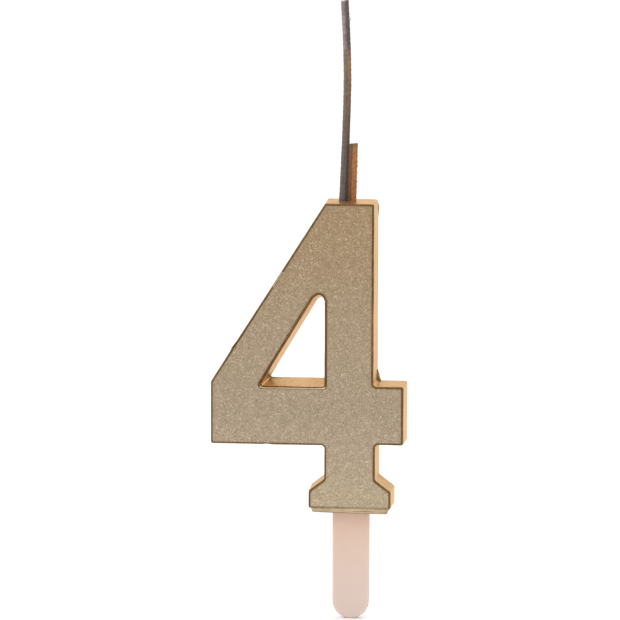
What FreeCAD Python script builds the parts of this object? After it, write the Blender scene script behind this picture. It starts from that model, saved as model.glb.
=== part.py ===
import FreeCAD, Part
import math
import os

import Sketcher

# A number birthday candle: a cast wax numeral 4 with a gold lacquer coat, a glitter film on its
# front, a doubled wick and a flat plastic pick that is pushed into the foot.
# Millimetres. +Z up, the front faces -Y, and the origin is the centre of the foot's underside.

doc = FreeCAD.newDocument("NumberCandle")

# Driving dimensions. The outline is stated over the lacquer, as a ruler would find it.
sizes = {
    # the numeral
    "numeralHeight": 70.0,
    "numeralDepth": 9.0,
    "stemLeft": 5.74,
    "stemRight": 5.24,
    "shankRight": 5.69,
    "armBottom": 15.7,
    "armHeight": 13.2,
    "armLeftDrop": 0.35,
    "armLeftReach": 31.4,
    "armRightReach": 12.0,
    "diagonalRise": 0.5,
    # its triangular counter
    "counterReach": 20.43,
    "counterDrop": 0.3,
    "counterApex": 53.1,
    # the foot, and the pour lip that is left under it
    "footHalfWidth": 9.25,
    "footSideTop": 5.0,
    "footShoulderTop": 7.7,
    "lipHeight": 1.05,
    "lipTopHalf": 8.75,
    "lipBottomHalf": 8.5,
    "lipSetback": 0.1,
    # draft and edges
    "outerDraft": 1.4,
    "counterDraft": 5.7,
    "frontBevel": 0.35,
    "backRound": 0.3,
    "cornerRound": 0.5,
    "crotchRound": 0.8,
    "counterRound": 0.6,
    "apexRound": 1.2,
    # the films on the wax
    "lacquer": 0.1,
    "glitterFilm": 0.15,
    # the pick and its slot
    "pickReach": 24.65,
    "pickRootHalf": 4.2,
    "pickTipRadius": 4.12,
    "pickThickness": 2.0,
    "pickEdgeRound": 0.35,
    "tangLength": 16.0,
    "tangCornerRound": 1.2,
    "slotClearance": 0.05,
    "slotEndGap": 0.3,
    # the wick, a flat braid doubled over in the wax
    "wickWidth": 1.75,
    "wickThickness": 1.0,
    "wickLegX": -2.21,
    "wickBottom": 22.0,
    "wickFoldRound": 1.5,
    "tailLeft": -1.15,
    "tailRight": 0.85,
    "tailHeight": 12.95,
    "tailCutRise": 0.35,
    "tailLeftLean": 0.47,
    "tailRightLean": 0.3,
    "tailEdgeRound": 0.2,
}

sheet = doc.addObject("Spreadsheet::Sheet", "Sizes")
for row, (alias, size) in enumerate(sizes.items(), start=1):
    sheet.set(f"A{row}", alias)
    sheet.set(f"B{row}", str(size))
    sheet.setAlias(f"B{row}", alias)
doc.recompute()


def bind(target, **expressions):
    """Ties properties of an object to cells of the sheet."""
    for name, expression in expressions.items():
        target.setExpression(name, expression)


def value_of(expression):
    return float(sheet.evalExpression(expression))


def values_of(corners):
    return [(value_of(across), value_of(up)) for across, up in corners]


def new_sketch(body, name):
    """A sketch on the body's own upright plane, seen from the front."""
    sketch = body.newObject("Sketcher::SketchObject", name)
    plane = next(item for item in body.Origin.OriginFeatures if item.Role == "XZ_Plane")
    sketch.AttachmentSupport = [(plane, "")]
    sketch.MapMode = "FlatFace"
    return sketch


def pin_point(sketch, geometry, end, across, up):
    """Places a point of a sketch by two expressions, measured from the sketch's origin."""
    for kind, expression in (("DistanceX", across), ("DistanceY", up)):
        datum = value_of(expression)
        index = sketch.addConstraint(Sketcher.Constraint(kind, -1, 1, geometry, end, datum))
        sketch.setExpression(f"Constraints[{index}]", expression)


def polygon_sketch(body, name, corners):
    """A closed polygon seen from the front, each corner (x, z) placed by two expressions."""
    sketch = new_sketch(body, name)
    points = [FreeCAD.Vector(across, up, 0) for across, up in values_of(corners)]
    count = len(points)
    for index, point in enumerate(points):
        sketch.addGeometry(Part.LineSegment(point, points[(index + 1) % count]), False)
    for index in range(count):
        sketch.addConstraint(Sketcher.Constraint("Coincident", index, 2, (index + 1) % count, 1))
    for index, (across, up) in enumerate(corners):
        pin_point(sketch, index, 1, across, up)
    return sketch


def add_feature(body, kind, name, expressions, **settings):
    """Adds a PartDesign feature with its plain settings and its bound sizes, and rebuilds."""
    feature = body.newObject(kind, name)
    for prop, setting in settings.items():
        setattr(feature, prop, setting)
    bind(feature, **expressions)
    doc.recompute()
    return feature


def edge_names(shape, test):
    return [f"Edge{index}" for index, edge in enumerate(shape.Edges, start=1) if test(edge)]


def edges_at_depth(shape, depth):
    """The edges that lie in one plane parallel to the front."""
    def lies_there(edge):
        return all(abs(vertex.Y - depth) < 1e-4 for vertex in edge.Vertexes)
    return edge_names(shape, lies_there)


def edges_from_corners(shape, corners, depth):
    """The front-to-back edges that start at the given corners (x, z) of the face at that depth."""
    places = values_of(corners)

    def starts_there(edge):
        near = min(edge.Vertexes, key=lambda vertex: vertex.Y)
        far = max(edge.Vertexes, key=lambda vertex: vertex.Y)
        if far.Y - near.Y < 0.5 or abs(near.Y - depth) > 1e-4:
            return False
        return any(math.hypot(near.X - x, near.Z - z) < 0.05 for x, z in places)
    return edge_names(shape, starts_there)


def drafted_prism(corners, front, back, draft):
    """A solid from a counter-clockwise outline (x, z) at the front, spreading towards the back.

    Its walls are true planes, which keeps the rounds and the thin lacquer skin exact.
    """
    spread = (back - front) * math.tan(math.radians(draft))
    count = len(corners)
    outward = []
    for index, (x, z) in enumerate(corners):
        nextX, nextZ = corners[(index + 1) % count]
        length = math.hypot(nextX - x, nextZ - z)
        outward.append(((nextZ - z) / length, (x - nextX) / length))
    frontPoints = []
    backPoints = []
    for index, (x, z) in enumerate(corners):
        before = outward[index - 1]
        after = outward[index]
        together = 1 + before[0] * after[0] + before[1] * after[1]
        moveX = spread * (before[0] + after[0]) / together
        moveZ = spread * (before[1] + after[1]) / together
        frontPoints.append(FreeCAD.Vector(x, front, z))
        backPoints.append(FreeCAD.Vector(x + moveX, back, z + moveZ))
    rings = [frontPoints, backPoints]
    for index in range(count):
        following = (index + 1) % count
        rings.append([frontPoints[index], frontPoints[following],
                      backPoints[following], backPoints[index]])
    faces = [Part.Face(Part.makePolygon(ring + ring[:1])) for ring in rings]
    return Part.Solid(Part.Shell(faces))


# The numeral is built twice, over the lacquer and under it, by the same steps.

def numeral(name, film):
    """The solid numeral with its counter and pour lip, its outline moved inwards by a film."""
    armTop = "Sizes.armBottom + Sizes.armHeight"
    foot = [
        (f"-Sizes.footHalfWidth + {film}", "Sizes.footSideTop"),
        (f"-Sizes.footHalfWidth + {film}", f"Sizes.lipHeight + {film}"),
        (f"Sizes.footHalfWidth - {film}", f"Sizes.lipHeight + {film}"),
        (f"Sizes.footHalfWidth - {film}", "Sizes.footSideTop"),
    ]
    rightCrotches = [
        (f"Sizes.shankRight - {film}", "Sizes.footShoulderTop"),
        (f"Sizes.shankRight - {film}", f"Sizes.armBottom + {film}"),
    ]
    rightArm = [
        (f"Sizes.armRightReach - {film}", f"Sizes.armBottom + {film}"),
        (f"Sizes.armRightReach - {film}", f"{armTop} - {film}"),
    ]
    upperCrotch = [(f"Sizes.stemRight - {film}", f"{armTop} - {film}")]
    stemTop = [
        (f"Sizes.stemRight - {film}", f"Sizes.numeralHeight - {film}"),
        (f"-Sizes.stemLeft + {film}", f"Sizes.numeralHeight - {film}"),
    ]
    leftArm = [
        (f"-Sizes.armLeftReach + {film}", f"{armTop} + Sizes.diagonalRise"),
        (f"-Sizes.armLeftReach + {film}", f"Sizes.armBottom - Sizes.armLeftDrop + {film}"),
    ]
    leftCrotches = [
        (f"-Sizes.stemLeft + {film}", f"Sizes.armBottom - Sizes.armLeftDrop + {film}"),
        (f"-Sizes.stemLeft + {film}", "Sizes.footShoulderTop"),
    ]
    crotches = rightCrotches + upperCrotch + leftCrotches
    corners = foot + stemTop + leftArm + rightArm
    outline = foot + rightCrotches + rightArm + upperCrotch + stemTop + leftArm + leftCrotches
    counterApex = [(f"-Sizes.stemLeft - {film}", "Sizes.counterApex")]
    counterBase = [
        (f"-Sizes.counterReach - {film}", f"{armTop} - Sizes.counterDrop - {film}"),
        (f"-Sizes.stemLeft - {film}", f"{armTop} - Sizes.counterDrop - {film}"),
    ]

    front = -value_of("Sizes.numeralDepth / 2")
    back = value_of(f"Sizes.numeralDepth / 2 - {film}")
    plate = doc.addObject("Part::Feature", name + "Plate")
    solid = drafted_prism(values_of(outline), front, back, value_of("Sizes.outerDraft"))
    hole = drafted_prism(values_of(counterBase + counterApex), front, back,
                         -value_of("Sizes.counterDraft"))
    plate.Shape = solid.cut(hole)
    print(name, "numeral", round(solid.Volume, 1), "counter", round(hole.Volume, 1))

    body = doc.addObject("PartDesign::Body", name)
    body.BaseFeature = plate
    doc.recompute()
    rounded = body.Tip
    rounds = (("Corners", corners, f"Sizes.cornerRound - {film}"),
              ("Crotches", crotches, f"Sizes.crotchRound + {film}"),
              ("CounterCorners", counterBase, f"Sizes.counterRound + {film}"),
              ("CounterApex", counterApex, f"Sizes.apexRound + {film}"))
    for part, places, radius in rounds:
        chosen = edges_from_corners(rounded.Shape, places, front)
        rounded = add_feature(body, "PartDesign::Fillet", name + part, {"Radius": radius},
                              Base=(rounded, chosen))
    backRound = add_feature(body, "PartDesign::Fillet", name + "BackRound",
                            {"Radius": f"Sizes.backRound - {film} / 2"},
                            Base=(rounded, edges_at_depth(rounded.Shape, back)))
    add_feature(body, "PartDesign::Chamfer", name + "FrontBevel", {"Size": "Sizes.frontBevel"},
                Base=(backRound, edges_at_depth(backRound.Shape, front)))

    lip = [
        (f"-Sizes.lipTopHalf + {film}", "Sizes.lipHeight + 1"),
        (f"-Sizes.lipTopHalf + {film}", "Sizes.lipHeight"),
        (f"-Sizes.lipBottomHalf + {film}", film),
        (f"Sizes.lipBottomHalf - {film}", film),
        (f"Sizes.lipTopHalf - {film}", "Sizes.lipHeight"),
        (f"Sizes.lipTopHalf - {film}", "Sizes.lipHeight + 1"),
    ]
    lipSketch = polygon_sketch(body, name + "Lip", lip)
    add_feature(body, "PartDesign::Pad", name + "PourLip",
                {"Length": f"Sizes.numeralDepth - 2 * Sizes.lipSetback - 2 * {film}"},
                Profile=lipSketch, Midplane=True)
    return body


lacqueredNumeral = numeral("Lacquered", "0 * Sizes.lacquer")
bareNumeral = numeral("Bare", "Sizes.lacquer")


# The cavities: the slot for the pick's tang, and the channel that the wick fills.

slotCutter = doc.addObject("Part::Box", "SlotCutter")
bind(slotCutter,
     Length="2 * (Sizes.pickRootHalf + Sizes.slotClearance)",
     Width="Sizes.pickThickness + 2 * Sizes.slotClearance",
     Height="Sizes.tangLength + Sizes.slotEndGap + 1")
bind(slotCutter, **{
    "Placement.Base.x": "-Sizes.pickRootHalf - Sizes.slotClearance",
    "Placement.Base.y": "-Sizes.pickThickness / 2 - Sizes.slotClearance",
    "Placement.Base.z": "-1",
})


def wick_hairpin(name, top):
    """The doubled braid in the wax: two flat legs side by side, joined at the bottom."""
    legLeft = "Sizes.wickLegX - Sizes.wickWidth / 2"
    legRight = "Sizes.wickLegX + Sizes.wickWidth / 2"
    fold = "Sizes.wickBottom + Sizes.wickWidth"
    corners = [
        (legLeft, top),
        (legLeft, "Sizes.wickBottom"),
        ("Sizes.tailRight", "Sizes.wickBottom"),
        ("Sizes.tailRight", top),
        ("Sizes.tailLeft", top),
        ("Sizes.tailLeft", fold),
        (legRight, fold),
        (legRight, top),
    ]
    body = doc.addObject("PartDesign::Body", name)
    flat = add_feature(body, "PartDesign::Pad", name + "Braid", {"Length": "Sizes.wickThickness"},
                       Profile=polygon_sketch(body, name + "Outline", corners), Midplane=True)
    face = -value_of("Sizes.wickThickness / 2")
    turns = edges_from_corners(flat.Shape, corners[1:3], face)
    add_feature(body, "PartDesign::Fillet", name + "Fold", {"Radius": "Sizes.wickFoldRound"},
                Base=(flat, turns))
    return body


def wax_casting():
    """The wax itself, with the pick's slot and the wick's channel."""
    channel = wick_hairpin("WickChannel", "Sizes.numeralHeight + 1")
    slotted = doc.addObject("Part::Cut", "SlottedNumeral")
    slotted.Base = bareNumeral
    slotted.Tool = slotCutter
    wax = doc.addObject("Part::Cut", "wax_body")
    wax.Base = slotted
    wax.Tool = channel
    return wax


def lacquer_coat():
    """The gold lacquer: the skin between the two numerals, open where the pick and wick pass."""
    skin = doc.addObject("Part::Cut", "LacquerSkin")
    skin.Base = lacqueredNumeral
    skin.Tool = bareNumeral
    slotted = doc.addObject("Part::Cut", "SlottedSkin")
    slotted.Base = skin
    slotted.Tool = slotCutter
    coat = doc.addObject("Part::Cut", "gold_coat")
    coat.Base = slotted
    coat.Tool = doc.WickChannel
    return coat


def glitter_film():
    """The glitter film on the flat of the front, inside its bevel."""
    body = doc.addObject("PartDesign::Body", "glitter_face")
    bevelled = doc.BareFrontBevel
    front = -value_of("Sizes.numeralDepth / 2")
    flat = next(f"Face{index}" for index, face in enumerate(bevelled.Shape.Faces, start=1)
                if all(abs(vertex.Y - front) < 1e-4 for vertex in face.Vertexes))
    flatCopy = body.newObject("PartDesign::SubShapeBinder", "FrontFlat")
    flatCopy.Support = [(bareNumeral, (f"BareFrontBevel.{flat}",))]
    doc.recompute()
    add_feature(body, "PartDesign::Pad", "GlitterPad", {"Length": "Sizes.glitterFilm"},
                Profile=(flatCopy, ["Face1"]))
    return body


def plastic_pick():
    """A flat stick with a round tip below the foot and a square tang above it."""
    body = doc.addObject("PartDesign::Body", "pick")
    sketch = new_sketch(body, "PickOutline")
    rootHalf = value_of("Sizes.pickRootHalf")
    tipRadius = value_of("Sizes.pickTipRadius")
    tangTop = value_of("Sizes.tangLength")
    tipCentre = tipRadius - value_of("Sizes.pickReach")
    corners = [FreeCAD.Vector(across, up, 0) for across, up in (
        (-tipRadius, tipCentre), (-rootHalf, 0), (-rootHalf, tangTop),
        (rootHalf, tangTop), (rootHalf, 0), (tipRadius, tipCentre))]
    for start, end in zip(corners, corners[1:]):
        sketch.addGeometry(Part.LineSegment(start, end), False)
    tipCircle = Part.Circle(FreeCAD.Vector(0, tipCentre, 0), FreeCAD.Vector(0, 0, 1), tipRadius)
    tip = sketch.addGeometry(Part.ArcOfCircle(tipCircle, math.pi, 2 * math.pi), False)
    lastLine = tip - 1
    for index in range(lastLine):
        sketch.addConstraint(Sketcher.Constraint("Coincident", index, 2, index + 1, 1))
    pin_point(sketch, 0, 2, "-Sizes.pickRootHalf", "0 * Sizes.pickRootHalf")
    pin_point(sketch, 1, 2, "-Sizes.pickRootHalf", "Sizes.tangLength")
    pin_point(sketch, 2, 2, "Sizes.pickRootHalf", "Sizes.tangLength")
    pin_point(sketch, 3, 2, "Sizes.pickRootHalf", "0 * Sizes.pickRootHalf")
    pin_point(sketch, tip, 3, "0 * Sizes.pickReach", "Sizes.pickTipRadius - Sizes.pickReach")
    radius = sketch.addConstraint(Sketcher.Constraint("Radius", tip, tipRadius))
    sketch.setExpression(f"Constraints[{radius}]", "Sizes.pickTipRadius")
    sketch.addConstraint(Sketcher.Constraint("Tangent", 0, 1, tip, 1))
    sketch.addConstraint(Sketcher.Constraint("Tangent", lastLine, 2, tip, 2))
    stick = add_feature(body, "PartDesign::Pad", "Stick", {"Length": "Sizes.pickThickness"},
                        Profile=sketch, Midplane=True)
    face = -value_of("Sizes.pickThickness / 2")
    tangCorners = [("-Sizes.pickRootHalf", "Sizes.tangLength"),
                   ("Sizes.pickRootHalf", "Sizes.tangLength")]
    tang = add_feature(body, "PartDesign::Fillet", "TangCorners",
                       {"Radius": "Sizes.tangCornerRound"},
                       Base=(stick, edges_from_corners(stick.Shape, tangCorners, face)))
    rims = edges_at_depth(tang.Shape, face) + edges_at_depth(tang.Shape, -face)
    add_feature(body, "PartDesign::Fillet", "PickRims", {"Radius": "Sizes.pickEdgeRound"},
                Base=(tang, rims))
    return body


def wick_tail():
    """The braid's short trimmed end, which stands beside the long leg with a slanted cut."""
    top = "Sizes.numeralHeight + Sizes.tailHeight"
    corners = [
        ("Sizes.tailLeft", "Sizes.numeralHeight"),
        ("Sizes.tailRight", "Sizes.numeralHeight"),
        ("Sizes.tailRight + Sizes.tailRightLean", f"{top} + Sizes.tailCutRise"),
        ("Sizes.tailLeft + Sizes.tailLeftLean", top),
    ]
    body = doc.addObject("PartDesign::Body", "wick_tail")
    flat = add_feature(body, "PartDesign::Pad", "TailBraid", {"Length": "Sizes.wickThickness"},
                       Profile=polygon_sketch(body, "TailOutline", corners), Midplane=True)
    face = value_of("Sizes.wickThickness / 2")

    def runs_up(edge):
        return edge.BoundBox.ZLength > value_of("Sizes.tailHeight") - 1
    add_feature(body, "PartDesign::Fillet", "TailEdges", {"Radius": "Sizes.tailEdgeRound"},
                Base=(flat, edge_names(flat.Shape, runs_up)))
    return body


# The route of the wick's free leg, up from the top of the stem: x and z of each point.
wickRoute = [
    (-2.21, 70.0),
    (-1.76, 79.4),
    (-1.41, 89.0),
    (-1.23, 98.2),
    (-1.49, 106.9),
    (-1.96, 114.95),
]


def wick_leg():
    """The free leg of the wick: straight runs joined by tangent arcs, with a flat oval section."""
    points = [FreeCAD.Vector(across, 0, up) for across, up in wickRoute]
    edges = []
    start = points[0]
    for before, corner, after in zip(points, points[1:], points[2:]):
        inward = (corner - before).normalize()
        onward = (after - corner).normalize()
        turn = inward.getAngle(onward)
        reach = 0.45 * min(corner.distanceToPoint(before), after.distanceToPoint(corner))
        radius = reach / math.tan(turn / 2)
        print("wick turn", round(math.degrees(turn), 2), "deg, radius", round(radius, 1))
        arcStart = corner - inward * reach
        arcEnd = corner + onward * reach
        toCentre = (onward - inward).normalize()
        middle = corner + toCentre * (radius / math.cos(turn / 2) - radius)
        edges.append(Part.LineSegment(start, arcStart).toShape())
        edges.append(Part.Arc(arcStart, middle, arcEnd).toShape())
        start = arcEnd
    edges.append(Part.LineSegment(start, points[-1]).toShape())
    route = Part.Wire(edges)
    halfWidth = value_of("Sizes.wickWidth / 2")
    halfThickness = value_of("Sizes.wickThickness / 2")
    heading = (points[1] - points[0]).normalize()
    oval = Part.Ellipse(points[0], halfWidth, halfThickness)
    oval.Axis = heading
    oval.XAxis = heading.cross(FreeCAD.Vector(0, 1, 0))
    section = Part.Wire([oval.toShape()])
    tube = route.makePipeShell([section], True, False)
    expected = math.pi * halfWidth * halfThickness * route.Length
    print("wick length", round(route.Length, 2), "volume", round(tube.Volume, 2),
          "section x length", round(expected, 2))
    leg = doc.addObject("Part::Feature", "wick")
    leg.Shape = tube
    return leg


waxBody = wax_casting()
parts = [waxBody, lacquer_coat(), glitter_film(), wick_hairpin("wick_core", "Sizes.numeralHeight"),
         wick_leg(), wick_tail(), plastic_pick()]
doc.recompute()

failed = [item.Name for item in doc.Objects if {"Invalid", "Error"} & set(item.State)]
if failed:
    raise RuntimeError("not rebuilt: " + ", ".join(failed))
for part in parts:
    if part.Shape.isNull() or not part.Shape.isValid():
        raise RuntimeError(part.Label + " has no valid shape")

os.makedirs("parts", exist_ok=True)
for part in parts:
    part.Shape.exportStep(f"parts/{part.Label}.step")
    print(part.Label, len(part.Shape.Solids), "solid,", round(part.Shape.Volume, 1), "mm3")
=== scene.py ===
import math
import random

import bmesh
import bpy
from mathutils import Matrix, Quaternion, Vector, noise


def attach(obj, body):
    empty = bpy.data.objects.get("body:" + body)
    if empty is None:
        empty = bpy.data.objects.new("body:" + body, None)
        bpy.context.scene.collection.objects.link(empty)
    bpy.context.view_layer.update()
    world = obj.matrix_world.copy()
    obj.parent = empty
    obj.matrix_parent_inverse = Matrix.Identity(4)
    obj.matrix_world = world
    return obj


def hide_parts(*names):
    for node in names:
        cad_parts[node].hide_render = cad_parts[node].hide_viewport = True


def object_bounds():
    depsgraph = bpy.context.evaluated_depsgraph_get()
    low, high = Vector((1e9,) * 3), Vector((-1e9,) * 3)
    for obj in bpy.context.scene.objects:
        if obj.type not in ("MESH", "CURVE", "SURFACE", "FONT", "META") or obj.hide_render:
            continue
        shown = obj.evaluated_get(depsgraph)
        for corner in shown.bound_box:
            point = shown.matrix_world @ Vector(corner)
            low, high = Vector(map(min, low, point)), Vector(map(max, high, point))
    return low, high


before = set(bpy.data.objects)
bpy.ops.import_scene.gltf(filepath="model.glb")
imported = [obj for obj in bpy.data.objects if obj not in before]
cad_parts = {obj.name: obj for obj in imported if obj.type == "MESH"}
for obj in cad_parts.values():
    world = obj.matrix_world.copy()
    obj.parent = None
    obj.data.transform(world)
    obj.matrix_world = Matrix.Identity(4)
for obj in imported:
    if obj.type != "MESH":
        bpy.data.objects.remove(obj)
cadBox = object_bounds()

# Number candle: a lacquered numeral 4 with a glitter front, a doubled wick and a plastic pick.
# The dictionaries hold millimetres and the meshes metres. The front looks along -Y.
mm = 0.001


# mesh helpers

def movedCorners(corners, amount):
    # a counter-clockwise outline (x, z) with every side moved outwards by the same amount
    moved = []
    for index, corner in enumerate(corners):
        here = Vector(corner)
        before = (here - Vector(corners[index - 1])).normalized()
        after = (Vector(corners[(index + 1) % len(corners)]) - here).normalized()
        outBefore = Vector((before.y, -before.x))
        outAfter = Vector((after.y, -after.x))
        mitre = (outBefore + outAfter) / (1 + outBefore.dot(outAfter))
        moved.append(tuple(here + mitre * amount))
    return moved


def roundedLoop(bm, corners, radii, depth, segments=5):
    # one closed loop of edges with rounded corners, made while the mesh holds no faces
    face = bm.faces.new([bm.verts.new((x * mm, depth * mm, z * mm)) for x, z in corners])
    for index, vert in enumerate(list(face.verts)):
        here, radius = Vector(corners[index]), radii[index]
        before = (here - Vector(corners[index - 1])).normalized()
        after = (Vector(corners[(index + 1) % len(corners)]) - here).normalized()
        halfTurn = before.angle(after) / 2
        made = bmesh.ops.bevel(bm, geom=[vert], offset=radius * math.tan(halfTurn) * mm,
                               offset_type="OFFSET", affect="VERTICES", segments=segments,
                               profile=0.5, clamp_overlap=False, material=-1)["verts"]
        # an even bevel is only round at a square corner, so its points go out to the true circle
        centre = here + (after - before).normalized() * radius / math.cos(halfTurn)
        for item in made:
            spoke = (Vector((item.co.x, item.co.z)) / mm - centre).normalized() * radius
            item.co = ((centre.x + spoke.x) * mm, depth * mm, (centre.y + spoke.y) * mm)
    face = bm.faces[:][0]
    edges = list(face.edges)
    bmesh.ops.delete(bm, geom=[face], context="FACES_ONLY")
    return edges


def profileLoops(bm, corners, profile, side=1):
    # corners are (x, z, radius, bend) with bend 1 at a point and -1 in a crotch;
    # profile is (grow, depth, round change); side is -1 where the outline is a hole
    places = [(x, z) for x, z, radius, bend in corners]
    loops = []
    for grow, depth, change in profile:
        radii = [max(radius + side * bend * change, 0.06) for x, z, radius, bend in corners]
        loops.append(roundedLoop(bm, movedCorners(places, side * grow), radii, depth))
    return loops


def bridgeAll(bm, loops):
    for near, far in zip(loops, loops[1:]):
        bmesh.ops.bridge_loops(bm, edges=near + far)


def slicePlane(bm, axis, place, chosen=None):
    faces = [face for face in bm.faces if chosen is None or chosen(face)]
    geom = set(faces)
    for face in faces:
        geom.update(face.edges)
        geom.update(face.verts)
    direction = Vector((axis == 0, axis == 1, axis == 2))
    bmesh.ops.bisect_plane(bm, geom=list(geom), dist=1e-7, plane_co=direction * place * mm,
                           plane_no=direction)


def sliceEvenly(bm, axis, spacing, chosen=None):
    # evenly spaced cuts, so that long faces can be waved and dented
    places = [vert.co[axis] / mm for vert in bm.verts]
    low = min(places)
    count = max(round((max(places) - low) / spacing), 1)
    step = (max(places) - low) / count
    for index in range(1, count):
        slicePlane(bm, axis, low + index * step + 0.013, chosen)


def cutWindow(bm, low, high, chosen):
    # opens the rectangle from low to high (x, y) in the faces that chosen() picks
    for axis, place in ((0, low[0]), (0, high[0]), (1, low[1]), (1, high[1])):
        slicePlane(bm, axis, place, chosen)
    inside = []
    for face in bm.faces:
        centre = face.calc_center_median() / mm
        if low[0] < centre.x < high[0] and low[1] < centre.y < high[1] and chosen(face):
            inside.append(face)
    bmesh.ops.delete(bm, geom=inside, context="FACES")


def waveSurface(bm, waves, seed):
    # shallow unevenness along the normals, from (height, length) pairs
    bm.normal_update()
    shift = Vector((seed * 7.3, seed * 3.1, seed * 5.7))
    lifts = []
    for vert in bm.verts:
        place = vert.co / mm
        lift = sum(height * noise.noise(place / length + shift) for height, length in waves)
        lifts.append((vert, vert.normal.copy() * lift * mm))
    for vert, lift in lifts:
        vert.co += lift


def pressDent(bm, centre, reach, push):
    # moves the surface round a point by push, falling off to nothing at reach
    middle = Vector(centre)
    for vert in bm.verts:
        near = (vert.co / mm - middle).length / reach
        if near < 1:
            fall = (1 - near * near) ** 2
            vert.co += Vector(push) * fall * mm


def cleanMesh(bm):
    bmesh.ops.remove_doubles(bm, verts=bm.verts[:], dist=2e-6)
    bmesh.ops.dissolve_degenerate(bm, edges=bm.edges[:], dist=1e-6)
    bmesh.ops.recalc_face_normals(bm, faces=bm.faces[:])


def shadeSmooth(bm, degrees):
    bm.normal_update()
    for face in bm.faces:
        face.smooth = True
    for edge in bm.edges:
        flat = len(edge.link_faces) == 2 and edge.calc_face_angle(0) < math.radians(degrees)
        edge.smooth = flat


def makePiece(name, bm, materials, body, nodes=()):
    # a finished mesh becomes a piece that rides on its body and stands for its CAD nodes
    mesh = bpy.data.meshes.new(name)
    bm.to_mesh(mesh)
    bm.free()
    piece = bpy.data.objects.new(name, mesh)
    bpy.context.scene.collection.objects.link(piece)
    for material in materials:
        mesh.materials.append(material)
    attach(piece, body)
    if nodes:
        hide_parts(*nodes)
    print("piece", name, len(mesh.polygons), "faces")
    return piece


# material helpers

def addNode(tree, kind, links=None, **settings):
    # a node with its settings, and its inputs set from other sockets or plain values
    node = tree.nodes.new(kind)
    for setting, value in settings.items():
        setattr(node, setting, value)
    for socket, source in (links or {}).items():
        if isinstance(source, bpy.types.NodeSocket):
            tree.links.new(source, node.inputs[socket])
        else:
            node.inputs[socket].default_value = source
    return node


def maths(tree, operation, *values, clamp=False):
    node = addNode(tree, "ShaderNodeMath", dict(enumerate(values)), operation=operation)
    node.use_clamp = clamp
    return node.outputs[0]


def between(tree, value, low, high):
    # 0 below low, 1 above high, smooth between them
    node = addNode(tree, "ShaderNodeMapRange",
                   {"Value": value, "From Min": low, "From Max": high},
                   interpolation_type="SMOOTHSTEP")
    return node.outputs["Result"]


def colourRamp(tree, factor, stops):
    node = addNode(tree, "ShaderNodeValToRGB", {"Fac": factor})
    elements = node.color_ramp.elements
    while len(elements) < len(stops):
        elements.new(0.5)
    for element, (place, colour) in zip(elements, stops):
        element.position = place
        element.color = (*colour, 1)
    return node.outputs["Color"]


def mixColour(tree, factor, first, second, blend="MIX"):
    node = addNode(tree, "ShaderNodeMix", data_type="RGBA", blend_type=blend)
    sockets = (node.inputs[0], node.inputs[6], node.inputs[7])
    for target, source in zip(sockets, (factor, first, second)):
        if isinstance(source, bpy.types.NodeSocket):
            tree.links.new(source, target)
        else:
            target.default_value = source if isinstance(source, float) else (*source, 1)
    return node.outputs[2]


def newMaterial(name, **sockets):
    # a Principled material; the sockets are named in words joined by underscores
    material = bpy.data.materials.new(name)
    material.use_nodes = True
    tree = material.node_tree
    shader = tree.nodes["Principled BSDF"]
    for socket, value in sockets.items():
        shader.inputs[socket.replace("_", " ")].default_value = value
    return material, tree, shader


def bumpFrom(tree, height, strength, distance):
    node = addNode(tree, "ShaderNodeBump",
                   {"Height": height, "Strength": strength, "Distance": distance * mm})
    return node.outputs["Normal"]


def newGroup(name, inputs, outputs):
    group = bpy.data.node_groups.new(name, "ShaderNodeTree")
    for socket, default in inputs:
        made = group.interface.new_socket(name=socket, in_out="INPUT",
                                          socket_type="NodeSocketFloat")
        made.default_value = default
    for socket, kind in outputs:
        group.interface.new_socket(name=socket, in_out="OUTPUT", socket_type=kind)
    return group, group.nodes.new("NodeGroupInput").outputs, group.nodes.new("NodeGroupOutput")


def placeGroup(tree, group, **values):
    node = tree.nodes.new("ShaderNodeGroup")
    node.node_tree = group
    for socket, value in values.items():
        node.inputs[socket].default_value = value
    return node.outputs


# shared effects, as node groups

def buildMottle():
    # soft patches of two sizes, as a mask that averages one half
    group, given, result = newGroup(
        "softMottle", [("Large", 200.0), ("Small", 1500.0)], [("Mask", "NodeSocketFloat")])
    place = addNode(group, "ShaderNodeTexCoord").outputs["Object"]
    noises = [addNode(group, "ShaderNodeTexNoise",
                      {"Vector": place, "Scale": given[size], "Detail": 3.0}).outputs["Fac"]
              for size in ("Large", "Small")]
    mask = maths(group, "MULTIPLY", maths(group, "ADD", *noises), 0.5)
    group.links.new(mask, result.inputs["Mask"])
    return group


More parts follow.
